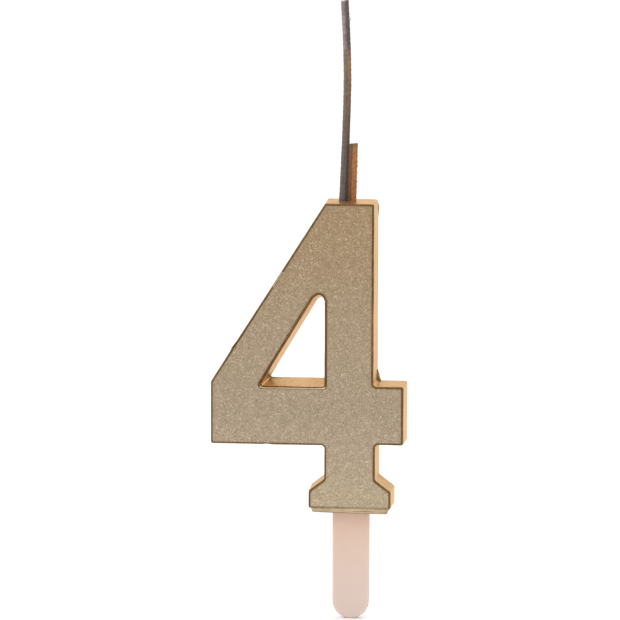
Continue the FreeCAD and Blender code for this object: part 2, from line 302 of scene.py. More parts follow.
def buildFlakes():
    # packed glitter flakes: a shade for each flake, its tilted normal, and its rim as a height
    group, given, result = newGroup(
        "glitterFlakes", [("Scale", 6000.0), ("Tilt", 0.4)],
        [("Shade", "NodeSocketFloat"), ("Rim", "NodeSocketFloat"), ("Normal", "NodeSocketVector")])
    place = addNode(group, "ShaderNodeTexCoord").outputs["Object"]
    cells = addNode(group, "ShaderNodeTexVoronoi", {"Vector": place, "Scale": given["Scale"]})
    rims = addNode(group, "ShaderNodeTexVoronoi", {"Vector": place, "Scale": given["Scale"]},
                   feature="DISTANCE_TO_EDGE")
    apart = addNode(group, "ShaderNodeSeparateColor", {"Color": cells.outputs["Color"]})
    centred = addNode(group, "ShaderNodeVectorMath",
                      {0: cells.outputs["Color"], 1: (0.5, 0.5, 0.5)}, operation="SUBTRACT")
    tilted = addNode(group, "ShaderNodeVectorMath",
                     {0: centred.outputs[0], "Scale": given["Tilt"]}, operation="SCALE")
    straight = addNode(group, "ShaderNodeNewGeometry").outputs["Normal"]
    summed = addNode(group, "ShaderNodeVectorMath", {0: straight, 1: tilted.outputs[0]},
                     operation="ADD")
    facing = addNode(group, "ShaderNodeVectorMath", {0: summed.outputs[0]}, operation="NORMALIZE")
    group.links.new(apart.outputs["Red"], result.inputs["Shade"])
    group.links.new(between(group, rims.outputs["Distance"], 0.0, 0.12), result.inputs["Rim"])
    group.links.new(facing.outputs[0], result.inputs["Normal"])
    return group


def buildFibres():
    # fine threads along V of the UV map, slanting both ways from a groove, as a height and a speck
    group, given, result = newGroup(
        "braidFibres", [("Threads", 60.0), ("Slant", 0.35), ("Specks", 900.0)],
        [("Thread", "NodeSocketFloat"), ("Speck", "NodeSocketFloat")])
    coords = addNode(group, "ShaderNodeTexCoord")
    apart = addNode(group, "ShaderNodeSeparateXYZ", {"Vector": coords.outputs["UV"]})
    folded = maths(group, "PINGPONG", apart.outputs["X"], 0.25)
    slid = maths(group, "MULTIPLY", maths(group, "MULTIPLY", folded, 4.0), given["Slant"])
    along = maths(group, "ADD", apart.outputs["Y"], slid)
    wave = maths(group, "SINE", maths(group, "MULTIPLY", along, given["Threads"]))
    frays = addNode(group, "ShaderNodeTexNoise",
                    {"Vector": coords.outputs["Object"], "Scale": given["Specks"], "Detail": 4.0,
                     "Roughness": 0.65}).outputs["Fac"]
    mixed = maths(group, "ADD", maths(group, "MULTIPLY", wave, 0.25), frays)
    group.links.new(mixed, result.inputs["Thread"])
    group.links.new(frays, result.inputs["Speck"])
    return group


softMottle = buildMottle()
glitterFlakes = buildFlakes()
braidFibres = buildFibres()
print("effects ready")


# gold lacquer, with painted shade on its front bevel and in its inner corners, and a painted
# highlight where the bevel faces the light

lacquer = {
    "deep": (0.60, 0.38, 0.19), "bright": (0.76, 0.53, 0.30), "tint": (0.86, 0.66, 0.44),
    "gloss": 0.26, "satin": 0.38, "metallic": 0.8,
    "paintedShadeDeep": (0.13, 0.066, 0.020), "paintedShadeBright": (0.23, 0.125, 0.048),
    "paleDeep": (0.40, 0.30, 0.185), "paleBright": (0.54, 0.43, 0.29),
    "ripple": 0.02, "peel": 0.004,
    # painted shade in the inner corners, where the lacquer turns dark bronze: centre, reach, strength
    "cornerShades": [((-18.4, 3.4, 29.8), 2.0, 1.0), ((5.5, 3.4, 29.0), 1.9, 0.6),
              ((-6.6, 0.5, 50.4), 2.0, 0.35), ((5.9, 2.0, 7.9), 1.8, 0.3),
              ((-5.9, 2.0, 7.9), 1.8, 0.3)],
}


def lacquerMaterial(name, deep, bright, gloss, satin):
    material, tree, shader = newMaterial(name, Metallic=lacquer["metallic"])
    shader.inputs["Specular Tint"].default_value = (*lacquer["tint"], 1)
    patches = placeGroup(tree, softMottle, Large=130.0, Small=900.0)["Mask"]
    spread = between(tree, patches, 0.36, 0.64)
    # painted shade: the lacquer turns dark bronze in the inner corners
    cornerShade = addNode(tree, "ShaderNodeAttribute", attribute_name="cornerShade").outputs["Fac"]
    ground = mixColour(tree, spread, deep, bright)
    tree.links.new(mixColour(tree, cornerShade, ground, lacquer["paintedShadeDeep"]),
                   shader.inputs["Base Color"])
    rough = addNode(tree, "ShaderNodeMapRange", {"Value": spread, "To Min": gloss, "To Max": satin})
    tree.links.new(rough.outputs["Result"], shader.inputs["Roughness"])
    peel = placeGroup(tree, softMottle, Large=900.0, Small=3200.0)["Mask"]
    reliefGain = 10
    fine = bumpFrom(tree, peel, 0.35, lacquer["peel"] * reliefGain)
    wide = bumpFrom(tree, patches, 0.25, lacquer["ripple"] * reliefGain)
    tree.links.new(wide, fine.node.inputs["Normal"])
    tree.links.new(fine, shader.inputs["Normal"])
    return material


goldLacquer = lacquerMaterial("goldLacquer", lacquer["deep"], lacquer["bright"],
                              lacquer["gloss"], lacquer["satin"])
# painted shade on the front bevel: its dark reflection painted as dark bronze
shadedBevel = lacquerMaterial("shadedBevel", lacquer["paintedShadeDeep"], lacquer["paintedShadeBright"],
                             0.35, 0.5)
# painted highlight on the bevel where it faces the light; the same pale gold is also the pour lip's
# own colour
paleLipAndLitBevel = lacquerMaterial("paleLipAndLitBevel", lacquer["paleDeep"], lacquer["paleBright"],
                                0.38, 0.52)
# dark lacquer of the mould flash, also used as painted shade in the pour lip's groove and along its
# bottom edge
darkFlashAndShade = lacquerMaterial("flashLacquerAndShade", (0.16, 0.10, 0.05), (0.36, 0.25, 0.14), 0.3, 0.45)


# the outline of the numeral, shared by its lacquer and its glitter

numeral = {
    # (x, z, radius, bend), bend 1 at an outer corner and -1 in a crotch
    "outline": [
        (-9.25, 5.0, 0.5, 1), (-9.25, 1.05, 0.5, 1), (9.25, 1.05, 0.5, 1), (9.25, 5.0, 0.5, 1),
        (5.69, 7.7, 0.8, -1), (5.69, 15.7, 0.8, -1), (12.0, 15.7, 0.5, 1), (12.0, 28.9, 0.5, 1),
        (5.24, 28.9, 0.8, -1), (5.24, 70.0, 0.5, 1), (-5.74, 70.0, 0.5, 1), (-31.4, 29.4, 0.5, 1),
        (-31.4, 15.35, 0.5, 1), (-5.74, 15.35, 0.8, -1), (-5.74, 7.7, 0.8, -1),
    ],
    "counter": [(-20.43, 28.6, 0.6, 0.5), (-5.74, 28.6, 0.6, 0.5), (-5.74, 53.1, 1.42, 1)],
    "front": -4.5, "back": 4.5, "bevel": 0.35, "counterBevel": 0.46, "backRound": 0.3,
    "outerSpread": 0.21, "counterSpread": 0.85, "counterTighten": 0.57,
    "shadedBevelTo": -4.0, "paleTo": -4.36,
    "lacquer": 0.09, "glitterInset": 0.42, "glitterCounterInset": 0.53, "glitterFront": -4.65,
}


# the pour lip under the foot, and the holes that the lacquer leaves open

lip = {"topHalf": 8.75, "bottomHalf": 8.5, "depthHalf": 4.4, "height": 1.11, "trim": 0.16,
       # (height, depth on the left, depth on the right) of the fine lines round it
       "lines": ((0.98, 0.04, 0.05), (0.50, 0.0, 0.10)), "lineHalf": 0.06,
       "edgeTop": 0.22, "edgeBottom": 0.05}

openings = {
    "leg": ((-3.12, -0.54), (-1.30, 0.54)), "tail": ((-1.18, -0.54), (0.88, 0.54)),
    "slot": ((-4.25, -1.05), (4.25, 1.05)),
}


def buildGoldShell():
    bm = bmesh.new()
    bevel, spread = numeral["bevel"], numeral["outerSpread"]
    front, back, turn = numeral["front"], numeral["back"], numeral["backRound"]
    outerProfile = [
        (-bevel, front, -bevel), (-bevel * 0.42, front + bevel * 0.36, -bevel * 0.42),
        (0, front + bevel, 0), (spread, back - turn, 0),
        (spread - 0.13 * turn, back - 0.5 * turn, 0), (spread - 0.5 * turn, back - 0.13 * turn, 0),
        (spread - turn, back, 0),
    ]
    inward, wide, tight = numeral["counterSpread"], numeral["counterBevel"], numeral["counterTighten"]
    holeProfile = [
        (-wide, front, -wide), (-wide * 0.42, front + wide * 0.36, -wide * 0.42),
        (0, front + wide, 0), (inward, back - turn, tight),
        (inward - 0.13 * turn, back - 0.5 * turn, tight),
        (inward - 0.5 * turn, back - 0.13 * turn, tight), (inward - turn, back, tight),
    ]
    outer = profileLoops(bm, numeral["outline"], outerProfile)
    hole = profileLoops(bm, numeral["counter"], holeProfile, side=-1)
    bridgeAll(bm, outer)
    bridgeAll(bm, hole)
    bmesh.ops.triangle_fill(bm, use_beauty=True, use_dissolve=False, edges=outer[-1] + hole[-1])
    cleanMesh(bm)

    for axis, spacing in ((0, 1.3), (2, 1.3), (1, 1.1)):
        sliceEvenly(bm, axis, spacing)
    top = 69.0
    cutWindow(bm, *openings["leg"], lambda face: face.calc_center_median().z > top * mm)
    cutWindow(bm, *openings["tail"], lambda face: face.calc_center_median().z > top * mm)
    cutWindow(bm, *openings["slot"], lambda face: face.calc_center_median().z < 2 * mm)
    cleanMesh(bm)

    waveSurface(bm, [(0.05, 9.0), (0.03, 3.5), (0.012, 1.4)], seed=1)
    # lacquer drawn up the braid, the burr low on the slope, two nicks under the long arm
    for x, y, lift in ((-2.3, -0.6, 0.05), (-2.3, 0.6, 0.16), (-0.3, -0.6, 0.05), (-0.3, 0.6, 0.16)):
        pressDent(bm, (x, y, 70.0), 1.1, (0, 0, lift))
    pressDent(bm, (-26.4, -4.2, 37.2), 1.0, (-0.16, 0, 0.1))
    pressDent(bm, (-18.9, -4.3, 15.35), 0.7, (0, 0, 0.16))
    pressDent(bm, (-18.0, -4.3, 15.35), 0.5, (0, 0, 0.11))
    pressDent(bm, (5.5, 4.5, 69.6), 1.6, (-0.14, 0, -0.1))

    # the front bevel takes painted light: material 1 is painted shade, and material 2, over the lip
    # and at the counter's base and point, is a painted highlight
    for face in bm.faces:
        centre = face.calc_center_median() / mm
        onEdge = centre.y < numeral["shadedBevelTo"] and abs(face.normal.y) > 0.2
        overLip = centre.z < 1.6 and abs(centre.x) < lip["topHalf"]
        inCounter = -20.9 < centre.x < -5.3 and 28.1 < centre.z < 54
        atBase = inCounter and centre.z < 29.1 and face.normal.z > 0.3
        atPoint = inCounter and centre.z > 51.0
        pale = overLip or ((atBase or atPoint) and centre.y < numeral["paleTo"])
        face.material_index = 0 if not onEdge else 2 if pale else 1
    # painted shade in the inner corners, strongest at each listed centre
    cornerShade = bm.verts.layers.float.new("cornerShade")
    for vert in bm.verts:
        for centre, reach, strength in lacquer["cornerShades"]:
            near = (vert.co / mm - Vector(centre)).length / reach
            vert[cornerShade] = max(vert[cornerShade], strength * max(0.0, 1 - near * near))
    bm.normal_update()
    bmesh.ops.solidify(bm, geom=bm.faces[:], thickness=numeral["lacquer"] * mm)
    shadeSmooth(bm, 32)
    return makePiece("goldShell", bm, [goldLacquer, shadedBevel, paleLipAndLitBevel], "candle",
                     ["gold_coat"])


buildGoldShell()


# pour lip under the foot, left where the mould was filled

def lipLoop(bm, half, depthHalf, z, tilt=0.0, rounding=0.5):
    # a rounded rectangle lying flat at height z, higher on the left by tilt
    edges = roundedLoop(bm, [(-half, -depthHalf), (half, -depthHalf), (half, depthHalf),
                             (-half, depthHalf)], [rounding] * 4, 0, segments=4)
    verts = {vert for edge in edges for vert in edge.verts}
    for vert in verts:
        x, y = vert.co.x, vert.co.z
        vert.co = (x, y, (z - tilt * x / (2 * half * mm)) * mm)
    return edges


def buildPourLip():
    bm = bmesh.new()
    top, bottom, deep = lip["topHalf"], lip["bottomHalf"], lip["depthHalf"]
    loops = [lipLoop(bm, 4.26, 1.06, lip["height"], rounding=0.2)]
    loops.append(lipLoop(bm, top, deep, lip["height"]))
    for line, leftDepth, rightDepth in lip["lines"]:
        half = bottom + (top - bottom) * line / lip["height"]
        loops.append(lipLoop(bm, half, deep, line + lip["lineHalf"]))
        groove = lipLoop(bm, half - 0.03, deep, line)
        for vert in {vert for edge in groove for vert in edge.verts}:
            side = 0.5 + 0.5 * vert.co.x / (half * mm)
            sink = leftDepth + (rightDepth - leftDepth) * side
            vert.co.y -= math.copysign(sink * mm, vert.co.y)
        loops.append(groove)
        loops.append(lipLoop(bm, half, deep, line - lip["lineHalf"]))
    loops.append(lipLoop(bm, bottom + 0.03, deep - 0.02, lip["edgeTop"], lip["trim"]))
    loops.append(lipLoop(bm, bottom - 0.05, deep - 0.10, lip["edgeBottom"], lip["trim"]))
    loops.append(lipLoop(bm, 4.26, 1.06, lip["edgeBottom"], rounding=0.2))
    bridgeAll(bm, loops + loops[:1])
    cleanMesh(bm)
    sliceEvenly(bm, 0, 0.9)
    sliceEvenly(bm, 1, 0.9)
    # outer faces in the deeper groove and on the lowest strip take the dark lacquer as painted shade
    for face in bm.faces:
        centre = face.calc_center_median() / mm
        outside = abs(centre.y) > lip["depthHalf"] - 0.4
        inLine = False
        for line, leftDepth, rightDepth in lip["lines"]:
            side = 0.5 + 0.5 * centre.x / lip["topHalf"]
            cut = leftDepth + (rightDepth - leftDepth) * side
            inLine = inLine or (abs(centre.z - line) < lip["lineHalf"] and cut > 0.055)
        atBottom = centre.z < lip["edgeTop"] - 0.02
        face.material_index = 1 if outside and (inLine or atBottom) else 0
    waveSurface(bm, [(0.05, 2.2), (0.03, 0.8)], seed=4)
    shadeSmooth(bm, 40)
    return makePiece("pourLip", bm, [paleLipAndLitBevel, darkFlashAndShade], "candle")


buildPourLip()


# flash left by the mould: a sliver in the crotch above the short arm, a thread up the back edge

flash = {
    "flashSliver": {"corners": [(5.2, 29.0), (6.35, 29.0), (5.95, 30.1), (5.55, 31.7), (5.2, 31.7)],
                    "radii": [0.05, 0.12, 0.3, 0.1, 0.05], "front": 2.9, "back": 4.1,
                    "rough": 0.09, "seed": 6},
    "flashThread": {"corners": [(5.2, 66.0), (5.48, 66.6), (5.60, 68.2), (5.50, 69.2), (5.2, 69.5)],
                    "radii": [0.05, 0.2, 0.6, 0.2, 0.05], "front": 3.95, "back": 4.25,
                    "rough": 0.05, "seed": 8},
}


def buildFlash(name, look):
    bm = bmesh.new()
    inner = [(-0.12, look["front"]), (0, look["front"] + 0.25), (0, look["back"])]
    loops = [roundedLoop(bm, movedCorners(look["corners"], grow), look["radii"], depth)
             for grow, depth in inner]
    bridgeAll(bm, loops)
    for edges in (loops[0], loops[-1]):
        bmesh.ops.triangle_fill(bm, use_beauty=True, use_dissolve=False, edges=edges)
    cleanMesh(bm)
    sliceEvenly(bm, 2, 0.4)
    sliceEvenly(bm, 1, 0.4)
    waveSurface(bm, [(look["rough"], 0.7), (look["rough"] * 0.55, 0.3)], seed=look["seed"])
    shadeSmooth(bm, 50)
    return makePiece(name, bm, [darkFlashAndShade], "candle")


for flashName, flashLook in flash.items():
    buildFlash(flashName, flashLook)


# glitter film on the flat of the front

# the colours up the face are a painted lighting gradient, lighter at the foot and darker at the top
glitter = {"paintedLightByHeight": [(0.06, (0.489, 0.384, 0.254)), (0.17, (0.449, 0.352, 0.240)),
                     (0.33, (0.407, 0.319, 0.216)), (0.68, (0.396, 0.297, 0.189)),
                     (0.85, (0.380, 0.269, 0.160)), (1.0, (0.380, 0.263, 0.148))],
           "dark": 0.67, "light": 1.19, "flake": 6600.0, "tilt": 0.5, "gloss": 0.4,
           "grain": 0.028, "cut": 0.42}


def glitterMaterial():
    material, tree, shader = newMaterial("glitterFlakes", Metallic=0.7, Roughness=0.4)
    flakes = placeGroup(tree, glitterFlakes, Scale=glitter["flake"], Tilt=glitter["tilt"])
    sparse = placeGroup(tree, glitterFlakes, Scale=glitter["flake"] * 0.47, Tilt=0.8)
    height = addNode(tree, "ShaderNodeSeparateXYZ",
                     {"Vector": addNode(tree, "ShaderNodeTexCoord").outputs["Object"]})
    # painted light: the glitter is lighter towards the foot and darker towards the top
    rise = maths(tree, "DIVIDE", height.outputs["Z"], 0.066)
    ground = colourRamp(tree, rise, glitter["paintedLightByHeight"])
    blotch = addNode(tree, "ShaderNodeMapRange", {
        "Value": placeGroup(tree, softMottle, Large=650.0, Small=2400.0)["Mask"],
        "From Min": 0.35, "From Max": 0.65, "To Min": 0.90, "To Max": 1.10})
    shade = addNode(tree, "ShaderNodeMapRange", {"Value": flakes["Shade"],
                                                 "To Min": glitter["dark"],
                                                 "To Max": glitter["light"]})
    rim = addNode(tree, "ShaderNodeMapRange", {"Value": flakes["Rim"], "To Min": 0.7, "To Max": 1.0})
    grey = maths(tree, "MULTIPLY", shade.outputs["Result"], rim.outputs["Result"])
    grey = maths(tree, "MULTIPLY", grey, blotch.outputs["Result"])
    toned = addNode(tree, "ShaderNodeVectorMath", {0: ground, "Scale": grey}, operation="SCALE")
    glints = between(tree, sparse["Shade"], 0.88, 0.93)
    glinting = mixColour(tree, maths(tree, "MULTIPLY", glints, 0.16), toned.outputs[0],
                         (0.95, 0.84, 0.66))
    # painted shade: the film's border turns dark brown along its edge
    border = addNode(tree, "ShaderNodeAttribute", attribute_name="rim").outputs["Fac"]
    tree.links.new(mixColour(tree, maths(tree, "MULTIPLY", border, 0.6), glinting,
                             (0.22, 0.15, 0.085)), shader.inputs["Base Color"])
    rough = addNode(tree, "ShaderNodeMapRange", {"Value": flakes["Shade"],
                                                 "To Min": 0.52, "To Max": glitter["gloss"]})
    tree.links.new(rough.outputs["Result"], shader.inputs["Roughness"])
    tree.links.new(flakes["Normal"], shader.inputs["Normal"])
    return material


glitterFinish = glitterMaterial()


def buildGlitter():
    bm = bmesh.new()
    inset = numeral["glitterInset"]
    back, face = numeral["front"] + 0.01, numeral["glitterFront"]
    profile = [(-inset, back, -inset), (-inset, face + 0.09, -inset),
               (-inset - 0.03, face + 0.04, -inset), (-inset - 0.10, face + 0.02, -inset)]
    extra = numeral["glitterCounterInset"] - inset
    holeProfile = [(grow - extra, depth, change - extra) for grow, depth, change in profile]
    outer = profileLoops(bm, numeral["outline"], profile)
    hole = profileLoops(bm, numeral["counter"], holeProfile, side=-1)
    bridgeAll(bm, outer)
    bridgeAll(bm, hole)
    for edges in (outer[-1] + hole[-1], outer[0] + hole[0]):
        bmesh.ops.triangle_fill(bm, use_beauty=True, use_dissolve=False, edges=edges)
    cleanMesh(bm)

    def onFront(item):
        return item.calc_center_median().y < (face + 0.03) * mm and item.normal.y < -0.5
    for axis in (0, 2):
        sliceEvenly(bm, axis, glitter["cut"], onFront)
    bmesh.ops.triangulate(bm, faces=[item for item in bm.faces if len(item.verts) > 4])
    cleanMesh(bm)

    # the border vertices carry painted shade along the film's edge, except over the lip
    rim = bm.verts.layers.float.new("rim")
    border = {vert for item in bm.faces if not onFront(item) for vert in item.verts}
    shift = Vector((31.7, 12.9, 5.3))
    for vert in bm.verts:
        overLip = vert.co.z < 1.8 * mm and abs(vert.co.x) < (lip["topHalf"] - 0.1) * mm
        vert[rim] = 1.0 if vert in border and not overLip else 0.0
        if vert not in border:
            place = vert.co / mm
            lift = noise.noise(place / 0.9 + shift) + 0.7 * noise.noise(place / 6 + shift)
            vert.co.y -= glitter["grain"] * (0.5 + 0.5 * lift) * mm
    shadeSmooth(bm, 40)
    return makePiece("glitterFilm", bm, [glitterFinish], "candle", ["glitter_face"])


buildGlitter()


# wick: a flat braid, its long leg and its trimmed tail

wick = {
    # the leg's route up from the stem, (x, z), as points of one smooth line
    "route": [(-2.21, 70.0), (-1.76, 79.4), (-1.41, 89.0), (-1.23, 98.2), (-1.49, 106.9),
              (-1.96, 114.95)],
    "width": 1.75, "thickness": 1.0, "length": 45.0,
    "rings": 56, "sides": 44, "stitch": 1.15, "relief": 0.055, "groove": 0.13, "grooveAt": 0.45,
    "cutSlant": 0.35,
    "legSpread": 0.15, "legSpreadTo": 0.34, "tailTaper": 0.03,
    "tail": {"left": -1.24, "right": 0.85, "height": 12.95, "rise": 0.35, "lean": 0.35},
}


def wickMaterial(name, look):
    # ground and edge hold stops up the braid; the edge tone lies on the side named by side: low on
    # the leg's right and along the tail's left it is a painted shadow between the two strands
    material, tree, shader = newMaterial(name, Roughness=0.72)
    shader.inputs["Specular IOR Level"].default_value = 0.32
    coords = addNode(tree, "ShaderNodeTexCoord")
    uv = addNode(tree, "ShaderNodeSeparateXYZ", {"Vector": coords.outputs["UV"]})
    threads = placeGroup(tree, braidFibres, Threads=330.0, Slant=0.12, Specks=1500.0)
    ground = colourRamp(tree, uv.outputs["Y"], look["ground"])
    edge = colourRamp(tree, uv.outputs["Y"], look["edge"])
    low = between(tree, uv.outputs["X"], *look["side"])
    high = between(tree, uv.outputs["X"], *look["sideTop"])
    near = between(tree, uv.outputs["Y"], 0.73, 0.79)
    # dark side of the braid: painted shadow between leg and tail low down, and a darker right side
    # higher on the leg
    darkSideMask = maths(tree, "ADD", maths(tree, "MULTIPLY", high, near),
                   maths(tree, "MULTIPLY", low, maths(tree, "SUBTRACT", 1.0, near)))
    tinted = mixColour(tree, maths(tree, "MULTIPLY", darkSideMask, 0.9), ground, edge)
    speck = between(tree, threads["Speck"], 0.44, 0.64)
    toned = mixColour(tree, maths(tree, "MULTIPLY", speck, 0.42), tinted, (0.02, 0.015, 0.012))
    light = between(tree, threads["Thread"], 0.35, 0.85)
    final = mixColour(tree, maths(tree, "MULTIPLY", light, 0.08), toned, (0.50, 0.42, 0.36))
    relief = addNode(tree, "ShaderNodeAttribute", attribute_name="relief").outputs["Fac"]
    shaded = mixColour(tree, maths(tree, "MULTIPLY", relief, 0.45), final, (0.02, 0.014, 0.01))
    tree.links.new(shaded, shader.inputs["Base Color"])
    tree.links.new(bumpFrom(tree, threads["Thread"], 0.5, 0.05), shader.inputs["Normal"])
    return material


legMaterial = wickMaterial("greyBraid", {
    "ground": [(0.0, (0.150, 0.122, 0.120)), (0.26, (0.150, 0.114, 0.098)),
               (0.36, (0.175, 0.122, 0.084)), (0.72, (0.250, 0.180, 0.118)),
               (0.80, (0.330, 0.262, 0.248)), (1.0, (0.340, 0.275, 0.262))],
    "edge": [(0.0, (0.028, 0.014, 0.006)), (0.26, (0.038, 0.020, 0.010)),
             (0.36, (0.105, 0.064, 0.038)), (0.56, (0.190, 0.105, 0.048)),
             (0.70, (0.270, 0.150, 0.070)),
             (0.78, (0.075, 0.048, 0.040)), (1.0, (0.085, 0.056, 0.048))],
    "side": (0.50, 0.72), "sideTop": (0.46, 0.60)})
tailMaterial = wickMaterial("copperBraid", {
    "ground": [(0.0, (0.34, 0.115, 0.022)), (0.5, (0.39, 0.148, 0.036)),
               (0.90, (0.37, 0.150, 0.044)), (1.0, (0.20, 0.11, 0.055))],
    "edge": [(0.0, (0.11, 0.046, 0.012)), (0.9, (0.15, 0.070, 0.022)), (1.0, (0.14, 0.08, 0.04))],
    "side": (0.52, 0.26), "sideTop": (0.52, 0.26)})


def routeLine(name, points):
    # the smooth line that a braid follows, read back as evenly numbered places
    curve = bpy.data.curves.new(name, "CURVE")
    curve.dimensions = "3D"
    spline = curve.splines.new("NURBS")
    spline.points.add(len(points) - 1)
    for point, place in zip(spline.points, points):
        point.co = (place[0] * mm, place[1] * mm, place[2] * mm, 1)
    spline.order_u = 3
    spline.use_endpoint_u = True
    spline.resolution_u = wick["rings"]
    holder = bpy.data.objects.new(name, curve)
    bpy.context.scene.collection.objects.link(holder)
    line = bpy.data.meshes.new_from_object(
        holder.evaluated_get(bpy.context.evaluated_depsgraph_get()))
    places = [vert.co.copy() for vert in line.vertices]
    bpy.data.objects.remove(holder)
    bpy.data.meshes.remove(line)
    return places


def braidProfile(around, along, width, thickness, lineAt):
    # across and depth of one point of the flat braid, and how deep it lies in a furrow
    angle = around * 2 * math.pi
    across = math.cos(angle)
    depth = math.sin(angle)
    square = (abs(across) ** 3.2 + abs(depth) ** 3.2) ** (-1 / 3.2)
    across, depth = across * square, depth * square
    middle = 2 * lineAt - 1
    groove = math.exp(-((across - middle) / 0.16) ** 2) * (0.35 + 0.65 * abs(depth))
    slant = abs(across - middle) * 0.9
    wave = 0.5 + 0.5 * math.sin(2 * math.pi * (along / wick["stitch"] - slant))
    furrow = wave ** 3
    shrink = 1 - (wick["relief"] * 1.5 * furrow) / thickness
    dip = 1 - (wick["groove"] * 2 * groove) / thickness
    return (across * width / 2 * (1 - 0.05 * furrow), depth * thickness / 2 * shrink * dip,
            max(groove * 0.9, furrow * 0.55))


def buildBraid(name, line, width, thickness, lineAt, material, nodes, cut, widths=None):
    # rings extruded along the line, each pushed into the braid's section at its place
    bm = bmesh.new()
    uvLayer = bm.loops.layers.uv.new("braid")
    reliefLayer = bm.verts.layers.float.new("relief")
    sides = wick["sides"]
    runs = [0.0]
    for before, after in zip(line, line[1:]):
        runs.append(runs[-1] + (after - before).length)
    total = runs[-1]
    first = bmesh.ops.create_circle(bm, cap_ends=False, segments=sides, radius=width / 2 * mm)
    ring = list(first["verts"])
    edges = list({edge for vert in ring for edge in vert.link_edges})
    rings = []
    for index, (place, run) in enumerate(zip(line, runs)):
        if index:
            made = bmesh.ops.extrude_edge_only(bm, edges=edges)["geom"]
            edges = [item for item in made if isinstance(item, bmesh.types.BMEdge)
                     and all(vert in made for vert in item.verts)]
            following = []
            for vert in ring:
                following.append(next(edge.other_vert(vert) for edge in vert.link_edges
                                      if edge.other_vert(vert) in made))
            edges = [edge for edge in edges if edge.verts[0] not in ring
                     and edge.verts[1] not in ring]
            ring = following
        ahead = line[min(index + 1, len(line) - 1)] - line[max(index - 1, 0)]
        up = ahead.normalized()
        right = Vector((0, 1, 0)).cross(up).normalized()
        deep = up.cross(right)
        stretch = widths(run / total) if widths else 1.0
        for side, vert in enumerate(ring):
            across, depth, furrow = braidProfile(side / sides, run / mm, width * stretch, thickness,
                                                 lineAt)
            wobble = 1 + 0.05 * noise.noise(Vector((side * 0.21, run / mm * 0.7, width)))
            # a wider braid keeps its left edge in place
            across += (stretch - 1) * width / 2
            trim = cut(across) * max(0.0, 1 - (total - run) / (1.2 * mm))
            vert.co = (place + right * across * wobble * mm + deep * depth * wobble * mm
                       + up * trim * mm)
            vert[reliefLayer] = furrow
        rings.append(list(ring))

    for cap, lift in ((rings[0], 0.0), (rings[-1], 0.10)):
        border = {edge for vert in cap for edge in vert.link_edges if edge.other_vert(vert) in cap}
        face = bmesh.ops.contextual_create(bm, geom=list(border))
        bmesh.ops.inset_region(bm, faces=face["faces"], thickness=0.09 * mm)
        for item in face["faces"]:
            for vert in item.verts:
                vert.co.z += lift * mm
            bmesh.ops.poke(bm, faces=[item])
    ringOf = {vert: (index, side) for index, item in enumerate(rings)
              for side, vert in enumerate(item)}
    for face in bm.faces:
        sidesHere = [ringOf[vert][1] for vert in face.verts if vert in ringOf]
        wraps = bool(sidesHere) and max(sidesHere) - min(sidesHere) > sides / 2
        for loop in face.loops:
            index, side = ringOf.get(loop.vert, (None, 0))
            if index is None:
                offset = loop.vert.co - line[0]
                loop[uvLayer].uv = (0.5, min(max(offset.z / total, 0), 1))
                continue
            if wraps and side < sides / 2:
                side += sides
            turned = math.cos(side / sides * 2 * math.pi)
            loop[uvLayer].uv = (0.5 + 0.5 * turned, runs[index] / total)
    bmesh.ops.recalc_face_normals(bm, faces=bm.faces[:])
    shadeSmooth(bm, 60)
    return makePiece(name, bm, [material], "candle", nodes)


routePoints = [(x, 0, z) for x, z in wick["route"]]
legLine = routeLine("wickRoute", routePoints)
wickLeg = buildBraid("wickLeg", legLine, wick["width"], wick["thickness"], wick["grooveAt"],
                     legMaterial, ["wick"], lambda across: wick["cutSlant"] * across * 0.5,
                     lambda up: 1 + wick["legSpread"] * max(0.0, 1 - up / wick["legSpreadTo"]))

tail = wick["tail"]
tailMiddle = (tail["left"] + tail["right"]) / 2
tailTop = 70.0 + tail["height"] + tail["rise"] / 2
tailLine = routeLine("tailRoute", [
    (tailMiddle, 0, 70.0), (tailMiddle + 0.09, 0, 74.0), (tailMiddle + 0.22, 0, 79.0),
    (tailMiddle + tail["lean"], 0, tailTop - 0.12)])
wickTail = buildBraid("wickTail", tailLine, tail["right"] - tail["left"], wick["thickness"], 0.40,
                      tailMaterial, ["wick_tail"],
                      lambda across: tail["rise"] * across / (tail["right"] - tail["left"]),
                      lambda up: 1 - wick["tailTaper"] * up)


# loose fibres on the braid's cut ends and edges

fuzz = {"count": 60, "thin": 0.03, "thick": 0.065, "seed": 11, "lint": (-0.86, -0.2, 110.9)}

fuzzMaterial, fuzzTree, fuzzShader = newMaterial("fibreGrey", Roughness=0.6)
fuzzPatch = placeGroup(fuzzTree, softMottle, Large=900.0, Small=2500.0)["Mask"]
fuzzTree.links.new(mixColour(fuzzTree, between(fuzzTree, fuzzPatch, 0.35, 0.65),
                             (0.20, 0.13, 0.08), (0.52, 0.40, 0.30)),
                   fuzzShader.inputs["Base Color"])


def addFibre(bm, places, radius):
    ring = bmesh.ops.create_circle(bm, cap_ends=True, segments=5, radius=radius * mm)["verts"]
    edges = list({edge for vert in ring for edge in vert.link_edges})
    bmesh.ops.translate(bm, verts=ring, vec=places[0])
    for before, after in zip(places, places[1:]):
        made = bmesh.ops.extrude_edge_only(bm, edges=edges)["geom"]
        verts = [item for item in made if isinstance(item, bmesh.types.BMVert)]
        edges = [item for item in made if isinstance(item, bmesh.types.BMEdge)
                 and item.verts[0] in verts and item.verts[1] in verts]
        bmesh.ops.translate(bm, verts=verts, vec=after - before)
        bmesh.ops.scale(bm, verts=verts, vec=(0.8, 0.8, 0.8), space=Matrix.Translation(-after))
    bmesh.ops.contextual_create(bm, geom=edges)


